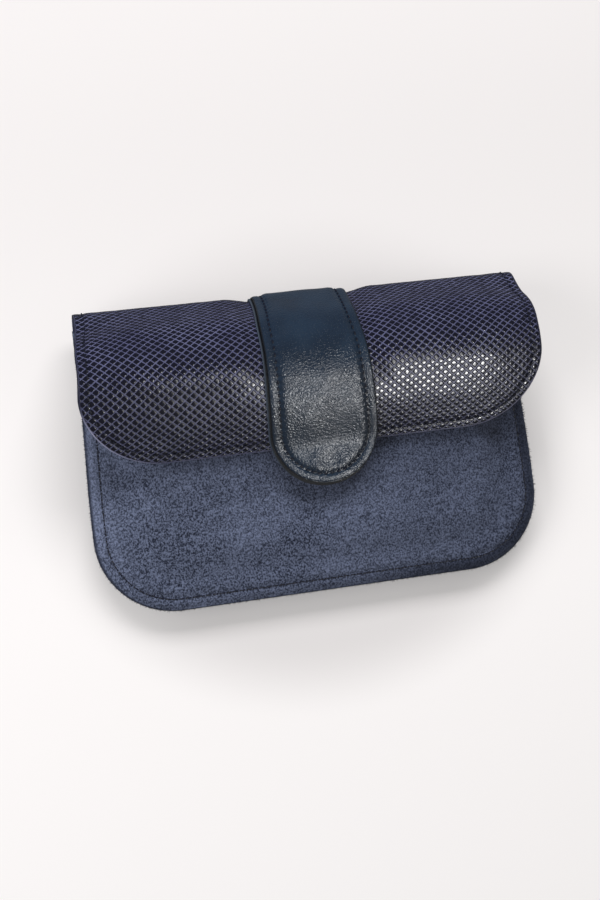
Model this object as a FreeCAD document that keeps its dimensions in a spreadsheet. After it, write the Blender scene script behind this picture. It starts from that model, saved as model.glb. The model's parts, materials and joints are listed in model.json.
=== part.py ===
"""Clutch wallet: a suede pouch, a patterned leather flap over its top, and a two-layer leather
strap that runs over the fold and closes on a hidden magnetic snap.

The wallet lies on its back. X is its width, Y runs up the wallet to the fold, Z comes out of its
front. The origin is the middle of the rest face, under the middle of the whole wallet's box.
"""
import FreeCAD, Part
import math
import os

from FreeCAD import Placement, Rotation, Vector

doc = FreeCAD.newDocument("wallet")

# ---------------------------------------------------------------- driving dimensions, mm, degrees
DIMENSIONS = {
    # pouch
    "body_width": 198.0,         # across the two side seams
    "body_corner": 40.0,         # radius of the two lower corners
    "seam_allowance": 6.0,       # border outside the seam, both panels flat together
    "seam_level": 10.0,          # height of the join between the two panels
    "suede": 1.4,
    "lining": 0.8,
    "lining_gap": 0.9,           # loose space between a panel and its lining
    "lining_inset": 8.0,         # from the seam in to the front lining's edge
    "base_half_width": 81.0,     # flat rest area of the back panel
    "base_bottom": -50.0,
    "base_corner": 28.0,
    "panel_flank": 24.0,         # how far in from the seam the front panel takes to rise
    "low_rise": 4.2,             # height of the front panel's dome where it meets the seam level
    "low_slope": 0.03,
    "flap_foot": 6.0,            # run over which the dome leaves the flap's slope
    "mouth_tilt": 30.0,          # tilt of the dome's surface at the mouth
    "mouth_inset": 2.2,
    "mouth_thread_end": 9.0,     # from the seam in to the end of the mouth's stitches
    "back_top": 58.2,            # upper edge of the back panel, under the yoke
    "back_top_corner": 4.0,
    "back_lining_gap": 0.3,
    "back_lining_inset": 3.0,
    # fold, flap
    "fold_y": 55.6,              # centre of the fold's bend
    "fold_level": 14.5,
    "fold_radius": 9.0,
    "fold_back_tilt": 150.0,     # tilt of the surface's normal from +Z towards +Y
    "fold_front_tilt": 57.0,
    "yoke_tail": 6.0,            # straight part of the flap leather sewn to the back panel
    "wall_length": 15.0,
    "ridge_radius": 24.0,
    "flap_tilt": -32.0,
    "flap_edge_y": -4.0,
    "flap_width": 198.0,
    "flap_corner": 39.0,
    "flap_leather": 1.3,
    "flap_lining": 1.0,
    "hinge_gap": 3.4,            # leather that flexes, between the fixed and the swinging half
    "flap_clearance": 1.3,
    # strap
    "strap_top_half": 22.0,
    "strap_low_half": 23.5,
    "strap_backing": 1.4,
    "strap_leather": 1.6,
    "glue_line": 0.05,
    "sewn_gap": 0.1,             # between two layers that are only sewn together
    "strap_lift_y": 3.0,         # where the strap starts to bend off the flap
    "strap_lift_radius": 30.0,
    "tongue_tilt": -12.0,
    "tongue_end_y": -22.0,
    # snap
    "snap_y": -11.2,
    "snap_radius": 6.2,
    "stud_plate": 0.9,
    "stud_boss_radius": 2.6,
    "stud_boss": 1.3,
    "socket_height": 2.5,
    "socket_recess_radius": 3.4,
    "socket_recess": 1.7,
    "snap_play": 0.45,           # between the two closed halves
    "washer_radius": 6.0,
    "washer": 0.6,
    "washer_gap": 0.12,
    # thread and card pocket
    "thread_radius": 0.35,
    "thread_play": 0.03,         # between a thread and the leather it lies on
    "mouth_thread_play": 0.12,
    "stitch_inset": 4.0,         # from a cut edge of the flap or the strap
    "seam_stitch_inset": 4.8,    # from the pouch's raw edge
    "yoke_stitch_inset": 2.0,
    "pocket_half_width": 52.0,
    "pocket_bottom": -44.0,
    "pocket_top": 14.0,
    "pocket_corner": 8.0,
    "pocket_gap": 0.4,           # from the back lining up to the pocket
    "pocket_stitch_inset": 2.5,
    "pocket_stitch_top": 1.0,
}

sheet = doc.addObject("Spreadsheet::Sheet", "sizes")
for row, (alias, number) in enumerate(DIMENSIONS.items(), start=1):
    sheet.set("A%d" % row, alias)
    sheet.set("B%d" % row, str(number))
    sheet.setAlias("B%d" % row, alias)
doc.recompute()


def size(alias):
    return float(getattr(sheet, alias))


STRAP_STACK = size("strap_backing") + size("strap_leather") + 2 * size("glue_line")
FLAP_STACK = size("flap_leather") + size("flap_lining") + size("glue_line")
BODY_BOTTOM = -(size("fold_y") + size("fold_radius") + STRAP_STACK)
HALF = size("body_width") / 2
FLAP_HALF = size("flap_width") / 2
THREAD_LIFT = size("thread_radius") + size("thread_play")
BEYOND = 10.0                    # how far a cutting outline reaches past what it cuts
THROUGH = 120.0                  # depth of a cut, or height of a prism, that spans the wallet


# ---------------------------------------------------------------- side profiles, in (y, z)
def normal(tilt):
    """Unit normal, in (y, z), of a surface tilted from +Z towards +Y."""
    angle = math.radians(tilt)
    return math.sin(angle), math.cos(angle)


class Profile:
    """A side profile drawn from the back of the wallet, over the fold, to the front.

    It is a chain of straights and bends that stay tangent. A bend of negative radius is hollow.
    """

    def __init__(self, y, z, tilt):
        self.y, self.z, self.tilt = y, z, tilt
        self.parts = []

    def straight(self, length):
        across, up = normal(self.tilt)
        end = (self.y - up * length, self.z + across * length)
        self.parts.append(("straight", (self.y, self.z), end, self.tilt))
        self.y, self.z = end
        return self

    def bend(self, radius, tilt):
        n0, n1 = normal(self.tilt), normal(tilt)
        centre = (self.y - radius * n0[0], self.z - radius * n0[1])
        self.parts.append(("bend", centre, radius, self.tilt, tilt))
        self.y, self.z = centre[0] + radius * n1[0], centre[1] + radius * n1[1]
        self.tilt = tilt
        return self

    def ends(self, part, offset):
        """First and last point of one part, moved out along the normal by the offset."""
        if part[0] == "straight":
            n = normal(part[3])
            return [(p[0] + n[0] * offset, p[1] + n[1] * offset) for p in part[1:3]]
        centre, radius, tilt0, tilt1 = part[1:]
        return [(centre[0] + (radius + offset) * normal(tilt)[0],
                 centre[1] + (radius + offset) * normal(tilt)[1]) for tilt in (tilt0, tilt1)]

    def curves(self, offset, place):
        """The offset profile as curves; place turns (y, z) into a 3-D point."""
        made = []
        for part in self.parts:
            first, last = self.ends(part, offset)
            if part[0] == "straight":
                made.append(Part.LineSegment(place(*first), place(*last)))
            else:
                centre, radius, tilt0, tilt1 = part[1:]
                n = normal((tilt0 + tilt1) / 2)
                middle = (centre[0] + (radius + offset) * n[0], centre[1] + (radius + offset) * n[1])
                made.append(Part.Arc(place(*first), place(*middle), place(*last)))
        return made


def in_sketch(y, z):
    return Vector(y, z, 0)


def at_x(x):
    return lambda y, z: Vector(x, y, z)


back_tilt, front_tilt = size("fold_back_tilt"), size("fold_front_tilt")
back_normal = normal(back_tilt)
tail_start = (
    size("fold_y") + size("fold_radius") * back_normal[0] + size("yoke_tail") * back_normal[1],
    size("fold_level") + size("fold_radius") * back_normal[1] - size("yoke_tail") * back_normal[0])
flex_tilt = math.degrees(size("hinge_gap") / 2 / size("fold_radius"))
fold_normal = normal(front_tilt)
fold_front = (size("fold_y") + size("fold_radius") * fold_normal[0],
              size("fold_level") + size("fold_radius") * fold_normal[1])
HINGE = Vector(0, fold_front[0] + STRAP_STACK * fold_normal[0],
               fold_front[1] + STRAP_STACK * fold_normal[1])


def yoke_profile():
    """Fixed half of the flap leather: up the back panel and round the fold."""
    return Profile(*tail_start, back_tilt).straight(size("yoke_tail")).bend(
        size("fold_radius"), front_tilt + flex_tilt)


def swinging_profile():
    """Start of the swinging half: the wall behind the ridge, then the ridge."""
    start = Profile(*fold_front, front_tilt).straight(size("hinge_gap") / 2)
    profile = Profile(start.y, start.z, front_tilt)
    return profile.straight(size("wall_length") - size("hinge_gap") / 2).bend(
        size("ridge_radius"), size("flap_tilt"))


def straight_to(profile, y):
    """Go on straight until the profile reaches this y."""
    return profile.straight((profile.y - y) / normal(profile.tilt)[1])


def flap_profile():
    return straight_to(swinging_profile(), size("flap_edge_y"))


def strap_profile():
    profile = straight_to(swinging_profile(), size("strap_lift_y"))
    profile.bend(-size("strap_lift_radius"), size("tongue_tilt"))
    return straight_to(profile, size("tongue_end_y"))


ridge = swinging_profile().parts[-1]
RIDGE_CENTRE = ridge[1]
flap_end = flap_profile()
FLAP_EDGE = (flap_end.y, flap_end.z)
tongue = strap_profile().parts[-1]


def tongue_height(y):
    """Height of the strap's underside along the straight tongue."""
    (y0, z0), (y1, z1) = tongue[1], tongue[2]
    return z0 + (z1 - z0) * (y - y0) / (y1 - y0)


# ---------------------------------------------------------------- small makers
def origin_plane(body, role):
    return [plane for plane in body.Origin.OriginFeatures if plane.Role == role][0]


def sketch_on(body, role, name, offset=None):
    sketch = body.newObject("Sketcher::SketchObject", name)
    sketch.AttachmentSupport = [(origin_plane(body, role), "")]
    sketch.MapMode = "FlatFace"
    if offset is not None:
        sketch.AttachmentOffset = offset
    return sketch


def new_body(label):
    body = doc.addObject("PartDesign::Body", label)
    body.Label = label
    return body


def rounded_outline(half, bottom, top, corner, top_corner=0.0):
    """Outline with two round lower corners, and two smaller upper ones if they have a radius."""
    low, high = bottom + corner, top - top_corner
    inner, inner_top = half - corner, half - top_corner
    curves = [
        Part.LineSegment(Vector(-half, high, 0), Vector(-half, low, 0)),
        quarter(Vector(-inner, low, 0), corner, 180),
        Part.LineSegment(Vector(-inner, bottom, 0), Vector(inner, bottom, 0)),
        quarter(Vector(inner, low, 0), corner, 270),
        Part.LineSegment(Vector(half, low, 0), Vector(half, high, 0)),
    ]
    if top_corner:
        curves.append(quarter(Vector(inner_top, high, 0), top_corner, 0))
    curves.append(Part.LineSegment(Vector(inner_top, top, 0), Vector(-inner_top, top, 0)))
    if top_corner:
        curves.append(quarter(Vector(-inner_top, high, 0), top_corner, 90))
    return curves


def quarter(centre, radius, start):
    circle = Part.Circle(centre, Vector(0, 0, 1), radius)
    return Part.ArcOfCircle(circle, math.radians(start), math.radians(start + 90))


def open_outline(half, bottom, top, corner):
    """The same outline as a path up both sides, open at the top."""
    return rounded_outline(half, bottom, top, corner)[:5]


def level(z):
    return Placement(Vector(0, 0, z), Rotation())


def band_body(label, profile, low, high, half_alias, factor=1.0):
    """A strip of leather of one side profile, between two offsets, as wide as the sheet says."""
    body = new_body(label)
    sketch = sketch_on(body, "YZ_Plane", label + "_profile")
    inner, outer = profile.curves(low, in_sketch), profile.curves(high, in_sketch)
    first = Part.LineSegment(in_sketch(*profile.ends(profile.parts[0], low)[0]),
                             in_sketch(*profile.ends(profile.parts[0], high)[0]))
    last = Part.LineSegment(in_sketch(*profile.ends(profile.parts[-1], low)[1]),
                            in_sketch(*profile.ends(profile.parts[-1], high)[1]))
    sketch.addGeometry(inner + outer + [first, last], False)
    pad = body.newObject("PartDesign::Pad", label + "_pad")
    pad.Profile = sketch
    pad.Midplane = True
    pad.setExpression("Length", "%g * sizes.%s" % (factor, half_alias))
    return body


def lines_through(points):
    return [Part.LineSegment(Vector(*a, 0), Vector(*b, 0)) for a, b in zip(points, points[1:])]


def cut_from(body, sketch, name, length=THROUGH):
    pocket = body.newObject("PartDesign::Pocket", name)
    pocket.Profile = sketch
    pocket.Midplane = True
    pocket.Length = length


def flat_thread(label, half, bottom, top, corner, z):
    """A thread that lies level: down one side, round two lower corners and up the other side."""
    body = new_body(label)
    spine = sketch_on(body, "XY_Plane", label + "_path", level(z))
    spine.addGeometry(open_outline(half, bottom, top, corner), False)
    start = Placement(Vector(-half, z, -top), Rotation())
    section = sketch_on(body, "XZ_Plane", label + "_section", start)
    section.addGeometry(Part.Circle(Vector(), Vector(0, 0, 1), size("thread_radius")), False)
    pipe = body.newObject("PartDesign::AdditivePipe", label + "_pipe")
    pipe.Profile = section
    pipe.Spine = spine


def thread_along(label, curves):
    """A thread along a path that leaves its plane."""
    path = Part.Wire([curve.toShape() for curve in curves])
    first = path.OrderedEdges[0]
    start = path.OrderedVertexes[0].Point
    direction = first.tangentAt(first.getParameterByLength(0))
    ring = Part.Wire(Part.makeCircle(size("thread_radius"), start, direction))
    made = doc.addObject("Part::Feature", label)
    made.Shape = path.makePipe(Part.Face(ring))
    made.Placement = Placement()
    return made


# ---------------------------------------------------------------- pouch panels
def hermite(y, y0, z0, slope0, y1, z1, slope1):
    step = y1 - y0
    u = (y - y0) / step
    return ((2 * u ** 3 - 3 * u ** 2 + 1) * z0 + (u ** 3 - 2 * u ** 2 + u) * step * slope0
            + (-2 * u ** 3 + 3 * u ** 2) * z1 + (u ** 3 - u ** 2) * step * slope1)


UNDER_FLAP = FLAP_STACK + size("flap_clearance")
FLAP_SLOPE = -math.tan(math.radians(size("flap_tilt")))
TONGUE_SLOPE = -math.tan(math.radians(size("tongue_tilt")))
SEAM_TOP = size("seam_level") + size("suede") + size("glue_line")
SNAP_STACK = size("stud_plate") + size("socket_height") + size("snap_play")
STUD_LOW, STUD_HIGH = size("tongue_end_y") + 1.0, size("snap_y") + size("snap_radius") + 0.6
UNDER_TONGUE = (SNAP_STACK + size("sewn_gap")) / normal(size("tongue_tilt"))[1]
panel_edge_z = FLAP_EDGE[1] - UNDER_FLAP / normal(size("flap_tilt"))[1]


def crest(y):
    """Height of the front panel's outer face along the wallet's middle line."""
    radius = size("ridge_radius") - UNDER_FLAP
    flap_foot = size("flap_edge_y") + size("flap_foot")
    if y >= RIDGE_CENTRE[0] + radius * normal(size("flap_tilt"))[0]:
        return RIDGE_CENTRE[1] + math.sqrt(radius ** 2 - (y - RIDGE_CENTRE[0]) ** 2)
    if y >= flap_foot:
        return panel_edge_z + FLAP_SLOPE * (y - size("flap_edge_y"))
    if y >= STUD_HIGH:
        return hermite(y, STUD_HIGH, tongue_height(STUD_HIGH) - UNDER_TONGUE, TONGUE_SLOPE,
                       flap_foot, panel_edge_z + FLAP_SLOPE * size("flap_foot"), FLAP_SLOPE)
    if y >= STUD_LOW:
        return tongue_height(y) - UNDER_TONGUE
    return hermite(y, BODY_BOTTOM, SEAM_TOP + size("low_rise"), size("low_slope"),
                   STUD_LOW, tongue_height(STUD_LOW) - UNDER_TONGUE, TONGUE_SLOPE)


def inside_distance(x, y):
    """Distance inwards from the seam line, along both sides and round the lower corners."""
    half = HALF - size("seam_allowance")
    bottom = BODY_BOTTOM + size("seam_allowance")
    corner = size("body_corner") - size("seam_allowance")
    dx, dy = abs(x) - (half - corner), (bottom + corner) - y
    if dx > 0 and dy > 0:
        return corner - math.hypot(dx, dy)
    return min(half - abs(x), y - bottom)


def panel_height(x, y):
    """Outer face of the front panel: flat at the seam, then up to the crest."""
    u = min(max(inside_distance(x, y) / size("panel_flank"), 0.0), 1.0)
    return SEAM_TOP + (crest(y) - SEAM_TOP) * u ** 3 * (10 - 15 * u + 6 * u * u)


MOUTH_Y = RIDGE_CENTRE[0] + size("ridge_radius") * normal(size("mouth_tilt"))[0]
DOME_ROWS, DOME_COLUMNS, DOME_MARGIN = 69, 41, 2.0


def spread(first, last, count):
    return [first + (last - first) * i / (count - 1) for i in range(count)]


def domed_sheet(label, drop, thickness_alias, inset, mouth):
    """A sheet that follows the front panel's dome, cut to the pouch's outline."""
    ys = spread(BODY_BOTTOM - DOME_MARGIN, mouth + DOME_MARGIN / 2, DOME_COLUMNS)
    xs = spread(-HALF - DOME_MARGIN, HALF + DOME_MARGIN, DOME_ROWS)
    rows = [[Vector(x, y, panel_height(x, y) - drop) for y in ys] for x in xs]
    surface = Part.BSplineSurface()
    surface.interpolate(rows)
    dome = doc.addObject("Part::Feature", label + "_dome")
    dome.Shape = surface.toShape()
    dome.Placement = Placement()
    skin = doc.addObject("Part::Extrusion", label + "_skin")
    skin.Base = dome
    skin.DirMode = "Custom"
    skin.Dir = Vector(0, 0, -1)
    skin.setExpression("LengthFwd", "sizes." + thickness_alias)
    outline = doc.addObject("Sketcher::SketchObject", label + "_outline")
    outline.addGeometry(rounded_outline(HALF - inset, BODY_BOTTOM + inset, mouth,
                                        size("body_corner") - inset), False)
    prism = doc.addObject("Part::Extrusion", label + "_prism")
    prism.Base = outline
    prism.Solid = True
    prism.DirMode = "Custom"
    prism.Dir = Vector(0, 0, 1)
    prism.LengthFwd = THROUGH
    panel = doc.addObject("Part::MultiCommon", label)
    panel.Label = label
    panel.Shapes = [skin, prism]


panel_offset = FLAP_STACK + size("sewn_gap")
tail_inner = (tail_start[0] - panel_offset * back_normal[0],
              tail_start[1] - panel_offset * back_normal[1])
back_angle = math.radians(180 - back_tilt)
FLOOR_WALL, RIM_WALL = 0.9, 1.3  # a tray's wall at its floor and its rim, in thicknesses


def back_wall_y(z, inwards):
    """Where the back panel's top wall, or a face this far inside it, reaches a height."""
    return (tail_inner[0] + (z - tail_inner[1]) / math.tan(back_angle)
            - inwards / math.sin(back_angle))


def tray_body(label, rise, thickness_alias, inset, flange):
    """A shallow tray with a flat base: the back panel, or its lining a little inside it."""
    thick = size(thickness_alias)
    body = new_body(label)

    def section(name, grow, z, wall):
        share = (z - rise) / (size("seam_level") - rise)
        base_half, base_low = size("base_half_width"), size("base_bottom")
        half = base_half + share * (HALF - size("seam_allowance") - base_half)
        low = base_low + share * (BODY_BOTTOM + size("seam_allowance") - base_low)
        sketch = sketch_on(body, "XY_Plane", label + name, level(z))
        sketch.addGeometry(rounded_outline(half - grow, low + grow, back_wall_y(z, rise + wall),
                                           size("base_corner"), size("back_top_corner")), False)
        return sketch

    outside = body.newObject("PartDesign::AdditiveLoft", label + "_outside")
    outside.Profile = section("_base", inset, rise, 0.0)
    outside.Sections = [section("_rim", inset, size("seam_level"), thick)]
    if flange:
        ring = sketch_on(body, "XY_Plane", label + "_flange_outline", level(size("seam_level")))
        ring.addGeometry(rounded_outline(HALF, BODY_BOTTOM, size("back_top"),
                                         size("body_corner")), False)
        border = body.newObject("PartDesign::Pad", label + "_flange")
        border.Profile = ring
        border.Reversed = True
        border.setExpression("Length", "sizes." + thickness_alias)
    hollow = body.newObject("PartDesign::SubtractiveLoft", label + "_hollow")
    hollow.Profile = section("_floor", inset + FLOOR_WALL * thick, rise + thick, thick)
    hollow.Sections = [section("_opening", inset + RIM_WALL * thick, size("seam_level") + 0.5,
                               thick)]
    trim = sketch_on(body, "XY_Plane", label + "_trim_outline", level(0))
    low, wide = size("back_top"), HALF + BEYOND
    high = low + 3 * BEYOND
    trim.addGeometry(lines_through([(-wide, low), (wide, low), (wide, high), (-wide, high),
                                    (-wide, low)]), False)
    cut_from(body, trim, label + "_trim")


def make_pouch():
    domed_sheet("front_panel", 0.0, "suede", 0.0, MOUTH_Y)
    domed_sheet("front_lining", size("suede") + size("lining_gap"), "lining",
                size("seam_allowance") + size("lining_inset"), MOUTH_Y - 0.5)
    tray_body("back_panel", 0.0, "suede", 0.0, True)
    tray_body("back_lining", size("suede") + size("back_lining_gap"), "lining",
              size("back_lining_inset"), False)


def make_card_pocket():
    """A flat slip pocket sewn on the back lining, open towards the mouth."""
    rise = size("suede") + size("back_lining_gap") + size("lining") + size("pocket_gap")
    body = new_body("card_pocket")
    outline = sketch_on(body, "XY_Plane", "card_pocket_outline", level(rise))
    outline.addGeometry(rounded_outline(size("pocket_half_width"), size("pocket_bottom"),
                                        size("pocket_top"), size("pocket_corner")), False)
    pad = body.newObject("PartDesign::Pad", "card_pocket_pad")
    pad.Profile = outline
    pad.setExpression("Length", "sizes.lining")
    inset, z = size("pocket_stitch_inset"), rise + size("lining") + THREAD_LIFT
    flat_thread("card_pocket_thread", size("pocket_half_width") - inset,
                size("pocket_bottom") + inset, size("pocket_top") - size("pocket_stitch_top"),
                size("pocket_corner") - inset, z)


# ---------------------------------------------------------------- flap, yoke and strap
def round_corners(body, half, corner, edge, tilt):
    """Cut the two lower corners of a swinging strip to a radius, square to its surface."""
    place = Placement(Vector(0, *edge), Rotation(Vector(1, 0, 0), -tilt))
    sketch = sketch_on(body, "XY_Plane", body.Label + "_corners", place)
    for side in (-1, 1):
        outer, inner = side * (half + BEYOND), side * (half - corner)
        centre = Vector(inner, corner, 0)
        start = 270 if side > 0 else 180
        lines = lines_through([(inner, 0), (inner, -BEYOND), (outer, -BEYOND), (outer, corner),
                               (side * half, corner)])
        sketch.addGeometry(lines + [quarter(centre, corner, start)], False)
    cut_from(body, sketch, body.Label + "_corner_cut", 2 * BEYOND)


def make_flap():
    lining_low, lining_high = -FLAP_STACK, -size("flap_leather") - size("glue_line")
    profile = flap_profile()
    outer = band_body("flap_outer", profile, -size("flap_leather"), 0.0, "flap_width")
    inner = band_body("flap_lining", profile, lining_low, lining_high, "flap_width")
    for body in (outer, inner):
        round_corners(body, FLAP_HALF, size("flap_corner"), FLAP_EDGE, size("flap_tilt"))
    band_body("flap_yoke", yoke_profile(), -size("flap_leather"), 0.0, "flap_width")
    band_body("yoke_lining", yoke_profile(), lining_low, lining_high, "flap_width")


def shape_strap(body, tongue_end):
    """Cut the strap's sides, a little wider towards the tongue, and its round end."""
    top_half, low_half = size("strap_top_half"), size("strap_low_half")
    centre_y = tongue_end + low_half
    sketch = sketch_on(body, "XY_Plane", body.Label + "_outline", level(0))
    wide, far, below = low_half + BEYOND, 80.0, tongue_end - BEYOND
    circle = Part.Circle(Vector(0, centre_y, 0), Vector(0, 0, 1), low_half)
    end = Part.ArcOfCircle(circle, math.pi, 2 * math.pi)
    lines = lines_through([(low_half, centre_y), (top_half, far), (wide, far), (wide, below),
                           (-wide, below), (-wide, far), (-top_half, far),
                           (-low_half, centre_y)])
    sketch.addGeometry(lines + [end], False)
    cut_from(body, sketch, body.Label + "_edge_cut")


def make_strap():
    glue = size("glue_line")
    backing = (glue, glue + size("strap_backing"))
    leather = (backing[1] + glue, backing[1] + glue + size("strap_leather"))
    for label, profile, (low, high) in (
            ("strap_backing", strap_profile(), backing), ("strap_outer", strap_profile(), leather),
            ("strap_back_backing", yoke_profile(), backing),
            ("strap_back_outer", yoke_profile(), leather)):
        body = band_body(label, profile, low, high, "strap_low_half", 2.0)
        shape_strap(body, size("tongue_end_y"))


# ---------------------------------------------------------------- threads
def make_seam_threads():
    inset = size("seam_stitch_inset")
    for label, z in (("body_needle_thread", SEAM_TOP + THREAD_LIFT),
                     ("body_bobbin_thread", size("seam_level") - size("suede") - THREAD_LIFT)):
        flat_thread(label, HALF - inset, BODY_BOTTOM + inset, MOUTH_Y - 1.0,
                    size("body_corner") - inset, z)


def mouth_curve():
    """A line of stitches just below the mouth's front edge, over the dome."""
    y = MOUTH_Y - size("mouth_inset")
    lift = size("thread_radius") + size("mouth_thread_play")
    half = HALF - size("seam_allowance") - size("mouth_thread_end")
    points = [Vector(x, y, panel_height(x, y) + lift) for x in spread(-half, half, 19)]
    curve = Part.BSplineCurve()
    curve.interpolate(points)
    return curve


def rim_path(offset):
    """Down one side of the flap, round its lower corners and up the other side."""
    n = normal(size("flap_tilt"))
    short = straight_to(swinging_profile(), FLAP_EDGE[0] + size("flap_corner") * n[1])
    x = FLAP_HALF - size("stitch_inset")
    left = short.curves(offset, at_x(-x))
    right = [reverse(curve) for curve in reversed(short.curves(offset, at_x(x)))]
    radius = size("flap_corner") - size("stitch_inset")
    foot = Vector(0, short.y + n[0] * offset, short.z + n[1] * offset)
    down = Vector(0, -n[1], n[0])

    def corner_point(side, angle):
        turn = math.radians(angle)
        return foot + Vector(side * (x - radius + radius * math.cos(turn)), 0, 0) \
            + down * (radius * math.sin(turn))

    low_left, low_right = corner_point(-1, 90), corner_point(1, 90)
    arc_left = Part.Arc(corner_point(-1, 0), corner_point(-1, 45), low_left)
    arc_right = Part.Arc(low_right, corner_point(1, 45), corner_point(1, 0))
    return left + [arc_left, Part.LineSegment(low_left, low_right), arc_right] + right


def reverse(curve):
    flipped = curve.copy()
    flipped.reverse()
    return flipped


def strap_thread_path():
    """Down one side of the strap, round its tongue and up the other side."""
    lift = STRAP_STACK + THREAD_LIFT
    inset = size("stitch_inset")
    x = size("strap_top_half") - inset
    short = straight_to(swinging_profile(), size("strap_lift_y"))
    short.bend(-size("strap_lift_radius"), size("tongue_tilt"))
    n = normal(size("tongue_tilt"))
    left = short.curves(lift, at_x(-x))
    right = [reverse(curve) for curve in reversed(short.curves(lift, at_x(x)))]
    foot = Vector(0, short.y + n[0] * lift, short.z + n[1] * lift)
    down = Vector(0, -n[1], n[0])
    reach = (foot.y - (size("tongue_end_y") + inset)) / n[1]
    arc = Part.Arc(foot + Vector(-x, 0, 0), foot + down * reach, foot + Vector(x, 0, 0))
    return left + [arc] + right


def make_threads():
    make_seam_threads()
    thread_along("mouth_thread", [mouth_curve()])
    thread_along("flap_needle_thread", rim_path(THREAD_LIFT))
    thread_along("flap_bobbin_thread", rim_path(-FLAP_STACK - THREAD_LIFT))
    thread_along("strap_thread", strap_thread_path())
    make_yoke_threads()


def make_yoke_threads():
    """Straight rows across the back that hold the yoke, and the strap on it."""
    n = back_normal
    along = size("yoke_stitch_inset")
    beside_strap = size("strap_low_half") + 1.0
    end, strap_end = FLAP_HALF - size("stitch_inset"), size("strap_top_half") - size("stitch_inset")
    rows = (("yoke_thread", THREAD_LIFT, ((-end, -beside_strap), (beside_strap, end))),
            ("strap_back_thread", STRAP_STACK + THREAD_LIFT, ((-strap_end, strap_end),)))
    for label, offset, spans in rows:
        y = tail_start[0] - n[1] * along + n[0] * offset
        z = tail_start[1] + n[0] * along + n[1] * offset
        rods = []
        for first, last in spans:
            rod = doc.addObject("Part::Cylinder", label + "_run")
            rod.setExpression("Radius", "sizes.thread_radius")
            rod.Height = last - first
            rod.Placement = Placement(Vector(first, y, z), Rotation(Vector(0, 1, 0), 90))
            rods.append(rod)
        group = doc.addObject("Part::Compound", label)
        group.Label = label
        group.Links = rods


# ---------------------------------------------------------------- magnetic snap
def disc(name, radius_alias, height_alias, lift):
    made = doc.addObject("Part::Cylinder", name)
    made.setExpression("Radius", "sizes." + radius_alias)
    made.setExpression("Height", "sizes." + height_alias)
    made.Placement = on_snap_axis(lift)
    return made


def on_snap_axis(lift):
    """Placement on the snap's axis, this far above the front panel's face."""
    n = normal(size("tongue_tilt"))
    y, z = size("snap_y"), crest(size("snap_y"))
    return Placement(Vector(0, y + n[0] * lift, z + n[1] * lift),
                     Rotation(Vector(1, 0, 0), -size("tongue_tilt")))


def make_snap():
    gap = size("sewn_gap")
    plate = disc("stud_plate_disc", "snap_radius", "stud_plate", gap)
    boss = disc("stud_boss_disc", "stud_boss_radius", "stud_boss", gap + size("stud_plate"))
    stud = doc.addObject("Part::MultiFuse", "snap_stud")
    stud.Shapes = [plate, boss]
    disc("snap_stud_washer", "washer_radius", "washer",
         -size("suede") - size("washer_gap") - size("washer"))
    under_strap = SNAP_STACK + gap - size("socket_height") - size("glue_line")
    blank = disc("socket_blank", "snap_radius", "socket_height", under_strap)
    recess = disc("socket_recess_disc", "socket_recess_radius", "socket_recess", under_strap)
    socket = doc.addObject("Part::Cut", "snap_socket")
    socket.Base, socket.Tool = blank, recess


# ---------------------------------------------------------------- build, check, write
NODES = ["back_panel", "front_panel", "back_lining", "front_lining", "card_pocket",
         "card_pocket_thread", "body_needle_thread", "body_bobbin_thread", "mouth_thread",
         "snap_stud", "snap_stud_washer", "flap_yoke", "yoke_lining", "yoke_thread",
         "strap_back_backing", "strap_back_outer", "strap_back_thread", "flap_outer",
         "flap_lining", "flap_needle_thread", "flap_bobbin_thread", "strap_backing",
         "strap_outer", "strap_thread", "snap_socket"]

make_pouch()
make_card_pocket()
make_flap()
make_strap()
make_threads()
make_snap()
doc.recompute()

for item in doc.Objects:
    if "Invalid" in item.State or "Error" in item.State:
        raise RuntimeError("%s failed to build: %s" % (item.Label, item.State))

os.makedirs("parts", exist_ok=True)
for node in NODES:
    shape = doc.getObjectsByLabel(node)[0].Shape
    if shape.isNull() or not shape.isValid() or not shape.Solids:
        raise RuntimeError(node + " has no valid solid")
    shape.exportStep("parts/%s.step" % node)
    box = shape.BoundBox
    print("%-20s solids %d volume %9.1f  x %.1f %.1f  y %.1f %.1f  z %.2f %.2f" % (
        node, len(shape.Solids), shape.Volume, box.XMin, box.XMax, box.YMin, box.YMax,
        box.ZMin, box.ZMax))
print("hinge line through y %.3f z %.3f mm" % (HINGE.y, HINGE.z))
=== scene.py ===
"""Looks of the clutch wallet: suede pouch, embossed leather flap, smooth strap and their stitches.

Every sheet of leather is drawn from a side profile or from the frame's own solids, then given its
seams, puckers and edges. Lengths are in metres and written in millimetres times MM.
"""
import json
import math

import bpy
import numpy as np
from mathutils import Matrix, Vector
from mathutils.bvhtree import BVHTree


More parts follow.
